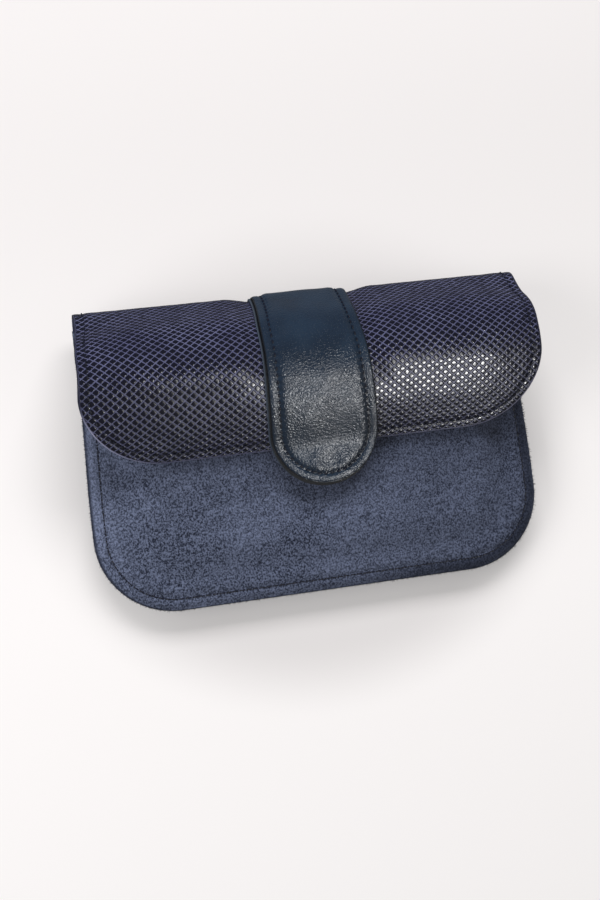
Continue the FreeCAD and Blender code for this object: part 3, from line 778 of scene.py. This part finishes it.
def seam_distance(x, y):
    """Distance in from the raw edge, along the sides and round the lower corners."""
    dx = np.abs(x) - (BODY_HALF - BODY_CORNER)
    dy = (BODY_BOTTOM + BODY_CORNER) - y
    round_part = BODY_CORNER - np.hypot(np.maximum(dx, 0), np.maximum(dy, 0))
    straight = np.minimum(BODY_HALF - np.abs(x), y - BODY_BOTTOM)
    return np.where((dx > 0) & (dy > 0), round_part, straight)


def seam_angle(x, y):
    """Runs along the seam, so that puckers can follow it."""
    return np.where(np.abs(x) > BODY_HALF - BODY_CORNER, y - np.sign(x) * x * 0.2, x)


def seam_relief(x, y, seed):
    """Height that sewing adds to a panel: a groove at the stitches, a full edge, small puckers."""
    d = seam_distance(x, y)
    groove = -0.55 * MM * bell(d, SEAM_INSET, 1.25 * MM)
    border = 0.12 * MM * bell(d, 1.8 * MM, 1.4 * MM)
    roll = 0.5 * MM * bell(d, SEAM_INSET + 4.5 * MM, 3.2 * MM)
    run = seam_angle(x, y)
    pucker = np.sin(math.tau * run / (6.2 * MM) + 2.2 * ripple(run, d * 0.2, seed, 22 * MM))
    pulled = 0.16 * MM * pucker * bell(d, SEAM_INSET + 1.0 * MM, 3.0 * MM)
    per_stitch = -0.10 * MM * np.cos(math.tau * run / STITCH_PITCH) * bell(d, SEAM_INSET, 1.1 * MM)
    soft = 0.34 * MM * ripple(x, y, seed + 1, 42 * MM) * smooth(6 * MM, 26 * MM, d)
    fine = 0.07 * MM * ripple(x, y, seed + 2, 7 * MM, 11) * smooth(5 * MM, 12 * MM, d)
    return groove + border + roll + pulled + per_stitch + soft + fine


front_map = HeightMap("front_panel", 3)
back_map = HeightMap("back_panel", 14, from_below=True)


def flare(x, y):
    """How far the sewn border curls down towards its raw edge."""
    return -2.6 * MM * (1 - smooth(-2.5 * MM, 5.2 * MM, seam_distance(x, y)))


def widened(x, y):
    """The filled pouch spreads a little, most of all towards its bottom."""
    return x * (1 + 0.018 * smooth(10 * MM, 75 * MM, PANEL_TOP - y))


def front_point(x, y, lift):
    """A point on the front panel's outer face."""
    z = front_map.at(x, y) + seam_relief(x, y, 3) * smooth(0, 6 * MM, PANEL_TOP - y + 2 * MM)
    z = z + flare(x, y)
    return np.stack(np.broadcast_arrays(widened(x, y), y, z + lift), -1)


def back_point(x, y, lift):
    """A point on the back panel's outer face; lift goes out of the back, towards -Z."""
    relief = seam_relief(x, y, 8)
    level = back_map.at(x, y)
    z = np.maximum(level - relief * smooth(0.4 * MM, 3 * MM, level), 0.0) + flare(x, y)
    return np.stack(np.broadcast_arrays(widened(x, y), y, z - lift), -1)


def panel_grid(top, inset=0.0, spacing=1.05 * MM):
    half, corner = BODY_HALF - inset, BODY_CORNER - inset
    bottom = BODY_BOTTOM + inset
    ys = rounded_rows(bottom, top, corner, spacing)
    cols = int(2 * half / spacing)
    t = np.linspace(-1, 1, cols)
    x = half_width(ys - bottom, half, corner)[:, None] * t[None, :]
    y = np.repeat(ys[:, None], cols, axis=1)
    return x, y


def suede_panel(name, surface, top, side, seed):
    """A suede panel whose outer face looks towards +Z for side 1, or -Z for side -1."""
    x, y = panel_grid(top)
    face = surface(x, y, 0.0)
    normal = normals_of(surface, x, y)
    back = face - normal * SUEDE * side * np.sign(normal[..., 2:3])
    panel = sheet_object(name, face, back, flat_places(x, y), 0.15 * MM, 3, 0.12 * MM, seed)
    a, b = places_of(panel, "flat")[:, :2].T
    border = 1 - smooth(SEAM_INSET - 1 * MM, SEAM_INSET + 1 * MM, seam_distance(a, b))
    # Painted shade: the panel darkens towards its right and lower right, most of all on the sewn
    # border there.
    towards = smooth(-20 * MM, 85 * MM, a - 0.2 * b)
    store(panel, "shade", np.maximum(border * 0.75, 0.26) * towards, "FLOAT")
    # Painted light: the sewn border up the left side is lightened.
    left = 1 - smooth(-97 * MM, -80 * MM, a)
    store(panel, "lit", 0.2 * border * left * smooth(20 * MM, 50 * MM, b - BODY_BOTTOM), "FLOAT")
    return panel


def border_path(half, top, bottom, corner, spacing=1.0 * MM):
    """Places down the left side, round the bottom and up the right side, evenly spaced."""
    turns = np.linspace(0, math.pi / 2, int(corner * math.pi / 2 / spacing))[1:]
    left = [(-half, y) for y in np.arange(top, bottom + corner, -spacing)]
    left += [(-half + corner * (1 - math.cos(t)), bottom + corner * (1 - math.sin(t)))
             for t in turns]
    left += [(x, bottom) for x in np.arange(-half + corner + spacing, 0, spacing)]
    return np.array(left + [(0, bottom)] + [(-x, y) for x, y in reversed(left)])


def seam_path(inset, top, spacing=1.0 * MM):
    """Round the pouch, this far in from its raw edge."""
    return border_path(BODY_HALF - inset, top, BODY_BOTTOM + inset, BODY_CORNER - inset, spacing)


def stitched(name, surface, path, nodes, lift, body=None, flip=False, pitch=STITCH_PITCH):
    """A row of stitches along a path on a surface; a row without a body, such as one over the fold,
    has its transform baked in.
    """
    a, b = path[:, 0], path[:, 1]
    points = surface(a, b, lift)
    up = normals_of(surface, a, b)
    if flip:
        up = -up
    row = copies(name, points, tangents(points), up, STITCH, thread, pitch, 0.05)
    dress(row, None, "thread", body, *nodes, blended=body is None)


def make_raw_fibres(count=4200):
    """Short fibres that stand out of the pouch's raw edges."""
    draw = np.random.default_rng(31)
    path = seam_path(0.15 * MM, PANEL_TOP - 2 * MM, 0.4 * MM)
    picks = draw.integers(1, len(path) - 1, count)
    a, b = path[picks, 0], path[picks, 1]
    along = tangents(np.c_[path, np.zeros(len(path))])[picks]
    outward = np.c_[along[:, 1], -along[:, 0], np.zeros(count)]
    outward *= np.sign((outward * np.c_[a, b, np.zeros(count)]).sum(1, keepdims=True))
    points = front_point(a, b, 0.0) + outward * 0.1 * MM
    points[:, 2] -= draw.uniform(0.1 * MM, 2.7 * MM, count)
    lean = draw.normal(0, 0.55, (count, 3))
    up = outward + lean
    up /= np.linalg.norm(up, axis=1, keepdims=True)
    row = copies("raw_edge_fibres", points, draw.normal(0, 1, (count, 3)), up, FIBRE, loose_fibre,
                 uneven=0.5)
    dress(row, None, "navy_suede", POUCH)


def make_pouch():
    panel = suede_panel("front_suede", front_point, PANEL_TOP, 1, 21)
    dress(panel, suede, "navy_suede", POUCH, "front_panel")
    panel = suede_panel("back_suede", back_point, BACK_TOP, -1, 22)
    dress(panel, suede, "navy_suede", POUCH, "back_panel")
    path = seam_path(SEAM_INSET, PANEL_TOP - 1.5 * MM)
    lift = 0.08 * MM
    stitched("front_seam_stitches", front_point, path, ["body_needle_thread"], lift, POUCH)
    stitched("back_seam_stitches", back_point, path, ["body_bobbin_thread"], lift, POUCH, flip=True)
    make_raw_fibres()
    mouth = row_across(86 * MM, PANEL_TOP - 2.4 * MM)
    stitched("mouth_stitches", front_point, mouth, ["mouth_thread"], 0.05 * MM, POUCH)


def row_across(half, level):
    return np.array([(x, level) for x in np.arange(-half, half + 0.1 * MM, 1.0 * MM)])


def make_lining(name, surface, top, drop, seed, node):
    """A lining that hangs loosely inside its panel, drop away from the panel's outer face."""
    x, y = panel_grid(top, 7 * MM, 2.2 * MM)
    wrinkle = 0.35 * MM * ripple(x, y, seed, 26 * MM, 9)
    face = surface(x, y, 0.0) + np.stack([0 * x, 0 * x, drop + wrinkle], -1)
    back = face + np.array([0, 0, math.copysign(LINING, drop)])
    lining = sheet_object(name, face, back, flat_places(x, y), 0.05 * MM, 1)
    dress(lining, lining_cloth, "lining_cloth", POUCH, node)


def make_linings():
    make_lining("front_lining_cloth", front_point, PANEL_TOP - 0.6 * MM, -2.4 * MM, 41,
                "front_lining")
    make_lining("back_lining_cloth", back_point, BACK_TOP - 1.0 * MM, 2.2 * MM, 42, "back_lining")
    cover(frame["nodes"]["card_pocket"], lining_cloth)
    cover(frame["nodes"]["card_pocket_thread"], thread)


# ------------------------------------------------------------------ flap
def flap_grid(grow=0.0, spacing=1.1 * MM):
    from_end = rounded_rows(0, flap_line.length + grow, FLAP_CORNER, spacing)[::-1]
    cols = int(2 * FLAP_HALF / spacing)
    t = np.linspace(-1, 1, cols)
    x = half_width(from_end, FLAP_HALF, FLAP_CORNER)[:, None] * t[None, :]
    return x, np.repeat((flap_line.length + grow - from_end)[:, None], cols, axis=1)


def rim_distance(x, s):
    """Distance in from the flap's cut edge, along its sides, lower corners and lower edge."""
    dx = np.abs(x) - (FLAP_HALF - FLAP_CORNER)
    ds = s - (flap_line.length - FLAP_CORNER)
    round_part = FLAP_CORNER - np.hypot(np.maximum(dx, 0), np.maximum(ds, 0))
    straight = np.minimum(FLAP_HALF - np.abs(x), flap_line.length - s)
    return np.where((dx > 0) & (ds > 0), round_part, straight)


def flap_relief(x, s):
    """Height that sewing and wear add to the flap: a groove at the stitches, a roll beside it."""
    d = rim_distance(x, s)
    groove = -0.28 * MM * bell(d, RIM_INSET, 1.0 * MM)
    roll = 0.1 * MM * bell(d, RIM_INSET + 3 * MM, 2.4 * MM)
    return 0.05 * MM * ripple(x, s, 14, 9 * MM, 9) + groove + roll


def flap_face(x, s, lift):
    return flap_point(x, s, lift + flap_relief(x, s))


def make_flap():
    x, s = flap_grid()
    leather = sheet_object("flap_leather", flap_face(x, s, 0.0), flap_point(x, s, -FLAP_LEATHER),
                           flat_places(x, s), 0.12 * MM, 2, 0.02 * MM, 51)
    pale_lower_edge_shaded_sides(leather)
    dress(leather, lattice_base, "embossed_leather", None, "flap_outer", "flap_yoke", blended=True)
    x, s = flap_grid(0.55 * MM)
    low = -FLAP_LEATHER - GLUE
    lining = sheet_object("flap_underside", flap_point(x, s, low),
                          flap_point(x, s, low - FLAP_LINING), flat_places(x, s),
                          0.16 * MM, 2, 0.03 * MM, 52)
    pale_lower_edge_shaded_sides(lining)
    dress(lining, flesh_side, "lining_leather", None, "flap_lining", "yoke_lining", blended=True)
    make_cells()
    make_rim_stitches()


def pale_lower_edge_shaded_sides(leather):
    """Keep the pale cut edge to the flap's lower edge and corners; up the sides the cut edge gets
    painted shade instead.
    """
    rim = np.empty(len(leather.data.vertices), np.float32)
    leather.data.attributes["rim"].data.foreach_get("value", rim)
    low = smooth(RIDGE_END_S, RIDGE_END_S + 16 * MM, places_of(leather, "flat")[:, 1])
    leather.data.attributes["rim"].data.foreach_set("value", (rim * low).astype(np.float32))
    # Painted shade on the cut edge up the flap's sides.
    store(leather, "shade", rim * (1 - low), "FLOAT")


def row_places():
    """Where each row of cells lies along the flap, and how long its cells are there."""
    knots = np.array([0, RIDGE_S - 12 * MM, RIDGE_S + 10 * MM, RIDGE_S + 22 * MM, flap_line.length])
    lengths = np.array([2.7, 2.7, 3.8, 3.6, 2.9]) * MM
    places, s = [], 1.0 * MM
    while s < flap_line.length:
        pitch = float(np.interp(s, knots, lengths))
        places.append((s, pitch))
        s += pitch / 2
    return places


def make_cells():
    """The embossed diamonds, laid out on the flat leather before it is bent."""
    cols = int(FLAP_HALF / CELL_PITCH) + 2
    places = []
    for r, (s, pitch) in enumerate(row_places()):
        for c in range(-cols, cols + 1):
            places.append(((c + (r % 2) / 2) * CELL_PITCH, s))
    a, b = np.array(places).T
    draw = np.random.default_rng(53)
    a, b = a + draw.normal(0, 0.05 * MM, len(a)), b + draw.normal(0, 0.04 * MM, len(b))
    keep = (rim_distance(a, b) > -0.5 * MM) & (b > 0.3 * MM)
    a, b = a[keep], b[keep]
    count = len(a)
    cells = copies("embossed_cells", flat_places(a, b), np.tile((1.0, 0, 0), (count, 1)),
                   np.tile((0, 0, 1.0), (count, 1)), CELL, cell_gloss, uneven=0.05)
    shorten_rows(cells, count)
    bend_flat(cells, flap_face, rim_distance, 0.6 * MM)
    dress(cells, None, "embossed_leather", None, blended=True)


def shorten_rows(cells, count):
    """Shorten each cell along the flap to its row's own length."""
    points = places_of(cells)
    middle = points.reshape(count, -1, 3)[:, :, 1].mean(1)
    middle = np.repeat(middle, len(points) // count)
    length = np.interp(middle, *np.array(row_places()).T)
    points[:, 1] = middle + (points[:, 1] - middle) * length / CELL_PITCH
    cells.data.vertices.foreach_set("co", points.ravel())


def bend_flat(piece, surface, edge_distance, margin):
    """Carry a piece laid out flat onto a surface, held inside the surface's cut edge."""
    a, b, lift = places_of(piece).astype(float).T
    step = 0.05 * MM
    for _ in range(3):
        short = margin - edge_distance(a, b)
        slope_a = (edge_distance(a + step, b) - edge_distance(a - step, b)) / (2 * step)
        slope_b = (edge_distance(a, b + step) - edge_distance(a, b - step)) / (2 * step)
        move = np.maximum(short, 0) / np.maximum(slope_a ** 2 + slope_b ** 2, 0.25)
        a, b = a + move * slope_a, b + move * slope_b
    b = np.maximum(b, margin)
    piece.data.vertices.foreach_set("co", surface(a, b, lift).astype(np.float32).ravel())
    piece.data.update()


def flap_underside(x, s, lift):
    return flap_point(x, s, lift - FLAP_LEATHER - FLAP_LINING - GLUE)


def make_rim_stitches():
    path = border_path(FLAP_HALF - RIM_INSET, -8 * MM, RIM_INSET - flap_line.length,
                       FLAP_CORNER - RIM_INSET) * (1, -1)
    stitched("flap_edge_stitches", flap_face, path, ["flap_needle_thread"], 0.16 * MM)
    stitched("flap_underside_stitches", flap_underside, path, ["flap_bobbin_thread"], -0.02 * MM,
             flip=True)
    stitched("yoke_stitches", flap_face, row_across(96 * MM, 2.4 * MM), ["yoke_thread"], 0.14 * MM)


# ------------------------------------------------------------------ strap
STRAP_END_START = strap_line.length - STRAP_LOW_HALF


def strap_half(s):
    return STRAP_TOP_HALF + (STRAP_LOW_HALF - STRAP_TOP_HALF) * smooth(HINGE_S, STRAP_END_START, s)


def strap_grid(grow=0.0, spacing=0.7 * MM):
    corner = STRAP_LOW_HALF + grow
    length = strap_line.length + grow
    from_end = rounded_rows(0, length, corner, spacing)[::-1]
    s = length - from_end
    cols = int(2 * STRAP_LOW_HALF / spacing)
    t = np.linspace(-1, 1, cols)
    ratio = half_width(from_end, corner, corner) / corner
    x = ((strap_half(s) + grow) * ratio)[:, None] * t[None, :]
    return x, np.repeat(s[:, None], cols, axis=1)


def strap_rim(x, s):
    """Distance in from the strap's edge."""
    beyond = np.maximum(s - STRAP_END_START, 0)
    return np.where(beyond > 0, STRAP_LOW_HALF - np.hypot(x, beyond), strap_half(s) - np.abs(x))


def strap_face(x, s, lift):
    """The strap's padded outer face: a groove at the stitches, tucks, and the snap's soft print."""
    d = strap_rim(x, s)
    pad = 0.85 * MM * smooth(RIM_INSET - 0.6 * MM, RIM_INSET + 3.2 * MM, d)
    groove = -0.55 * MM * bell(d, RIM_INSET, 0.8 * MM)
    edge = -0.4 * MM * (1 - smooth(0, 1.0 * MM, d))
    run = np.where(s > STRAP_END_START, np.arctan2(x, s - STRAP_END_START) * STRAP_LOW_HALF, s)
    tuck = 0.24 * MM * np.cos(math.tau * run / STRAP_PITCH)
    tuck = tuck * bell(d, RIM_INSET + 0.9 * MM, 0.9 * MM)
    wave = 0.16 * MM * ripple(x, s, 61, 16 * MM) * smooth(4 * MM, 9 * MM, d)
    snap = strap_line.length - (SNAP_Y - TONGUE_END_Y) / math.cos(math.radians(TONGUE_TILT))
    away = np.hypot(x - 1 * MM, s - snap)
    print_through = 0.35 * MM * bell(away, 6.5 * MM, 2.5 * MM) - 0.45 * MM * bell(away, 0, 5 * MM)
    relief = pad + groove + edge + tuck + wave + print_through
    return strap_point(x, s, lift + relief + STRAP_STACK - PAD_ROOM)


def make_strap():
    x, s = strap_grid()
    outer = sheet_object("strap_leather", strap_face(x, s, 0.0),
                         strap_point(x, s, STRAP_BACKING + 2 * GLUE), flat_places(x, s),
                         0.2 * MM, 3, 0.0, 62)
    dress(outer, strap_leather, "strap_leather", None, "strap_outer", "strap_back_outer",
          blended=True)
    x, s = strap_grid(0.5 * MM)
    below = smooth(STRAP_END_START - 4 * MM, STRAP_END_START + 14 * MM, s)
    # The near-black backing is set 0.75 mm to the left all along, so it shows as a black band
    # beside the strap: partly its dark cut edge, partly a painted shadow of the gap there.
    x, s = x - 0.75 * MM, s + 0.9 * MM * below
    backing = sheet_object("strap_under_layer", strap_point(x, s, STRAP_BACKING + GLUE),
                           strap_point(x, s, GLUE), flat_places(x, s), 0.15 * MM, 2, 0.02 * MM, 63)
    dress(backing, strap_edge, "lining_leather", None, "strap_backing", "strap_back_backing",
          blended=True)
    stitched("strap_stitches", strap_face, strap_path(), ["strap_thread", "strap_back_thread"],
             -0.02 * MM, pitch=STRAP_PITCH)


def strap_path():
    """Places down the strap's left side, round its end and up its right side."""
    side = np.arange(3.0 * MM, STRAP_END_START, 1.0 * MM)
    left = [(RIM_INSET - float(strap_half(s)), s) for s in side]
    radius = STRAP_LOW_HALF - RIM_INSET
    turns = np.linspace(0, math.pi, int(radius * math.pi / (1.0 * MM)))
    turn = [(-radius * math.cos(t), STRAP_END_START + radius * math.sin(t)) for t in turns]
    return np.array(left + turn + [(-x, s) for x, s in reversed(left)])


def make_snap():
    for node in ("snap_stud", "snap_stud_washer", "snap_socket"):
        cover(frame["nodes"][node], nickel)


# ------------------------------------------------------------------ stage, light, camera
def make_stage():
    """A pale floor that glows as painted light: dim near the wallet, so that its shadow stays deep,
    and brighter away from it, most of all towards -Y.
    """
    reach, level = 3.0, -0.0002
    corners = [(-reach, -reach, 0), (reach, -reach, 0), (reach, reach, 0), (-reach, reach, 0)]
    floor = mesh_object("floor", corners, [(0, 1, 2, 3)], False)
    floor.location.z = level
    ground = Finish("pale floor", {"Base Color": colour(188, 184, 184), "Roughness": 0.95,
                                   "Specular IOR Level": 0.0, "Emission Strength": 1.0})
    across, along = (Number(ground.tree, part) for part in ground.tree.node(
        "ShaderNodeSeparateXYZ", None, {0: ground.place()}).outputs[:2])
    around = (((across * 9.7) ** 2.0 + ((along + 0.01) * 11.0) ** 2.0) ** 0.5).ramp(0.9, 1.3)
    forward = along.ramp(-0.08, 0.16, 1.0, 0.2)
    # Painted light: the floor's own glow, dimmer near the wallet and towards +Y.
    ground.link("Emission Color", ground.mix(around * forward, colour(143, 142, 141),
                                             colour(183, 182, 181)))
    cover(floor, ground.material)
    floor.visible_glossy = False


def lamp(name, place, target, width, height, power, glossy=True, diffuse=True):
    """A softbox; one that isn't diffuse only shows as highlights, and casts no shadow."""
    light = bpy.data.lights.new(name, "AREA")
    light.shape = "RECTANGLE"
    light.size, light.size_y = width, height
    light.energy = power
    light.use_shadow = diffuse
    made = placed(name, light)
    made.location = place
    made.visible_glossy = glossy
    made.visible_diffuse = diffuse
    made.rotation_euler = (Vector(target) - Vector(place)).to_track_quat("-Z", "Y").to_euler()


def make_lights():
    world = bpy.data.worlds.new("studio")
    world.use_nodes = True
    sky = world.node_tree.nodes["Background"].inputs
    sky["Color"].default_value = (1, 1, 1, 1)
    sky["Strength"].default_value = 0.2
    bpy.context.scene.world = world
    middle = (0.02, 0.01, 0.03)
    lamp("top softbox", (0.1, 1.0, 0.8), (0, 0, 0.02), 1.2, 0.4, 17, glossy=False)
    lamp("left fill", (-1.1, 0.0, 0.6), (0, 0, 0), 0.9, 0.7, 10, glossy=False)
    lamp("tall softbox", (0.25, -0.47, 0.68), middle, 0.22, 0.66, 2.8, diffuse=False)
    lamp("window", (0.34, -0.58, 0.58), (0.05, 0.02, 0.03), 0.16, 0.10, 2.0, diffuse=False)


def make_camera():
    """Seen from the wallet's left, square to its height, with the camera a little turned."""
    side, above, roll = math.radians(11.5), math.radians(-0.7), math.radians(7.1)
    distance, right_shift, up_shift = 0.60, 0.0075, 0.0059
    out = Vector((-math.sin(side), math.tan(above), math.cos(side))) * math.cos(above)
    up = (Vector((0, 1, 0)) - out * out.y).normalized()
    right = up.cross(out)
    cam_right = right * math.cos(roll) - up * math.sin(roll)
    cam_up = right * math.sin(roll) + up * math.cos(roll)
    target = Vector((0, 0, 0.02)) - cam_right * right_shift - cam_up * up_shift
    camera = placed("camera", bpy.data.cameras.new("camera"))
    camera.data.lens = 54.7
    camera.data.sensor_width = 36
    camera.data.clip_start = 0.01
    turn = Matrix((cam_right, cam_up, out)).transposed()
    camera.matrix_world = Matrix.Translation(target + out * distance) @ turn.to_4x4()
    bpy.context.scene.camera = camera


make_pouch()
make_linings()
make_flap()
make_strap()
make_snap()
make_stage()
make_lights()
make_camera()
bpy.context.scene.view_settings.view_transform = "Standard"
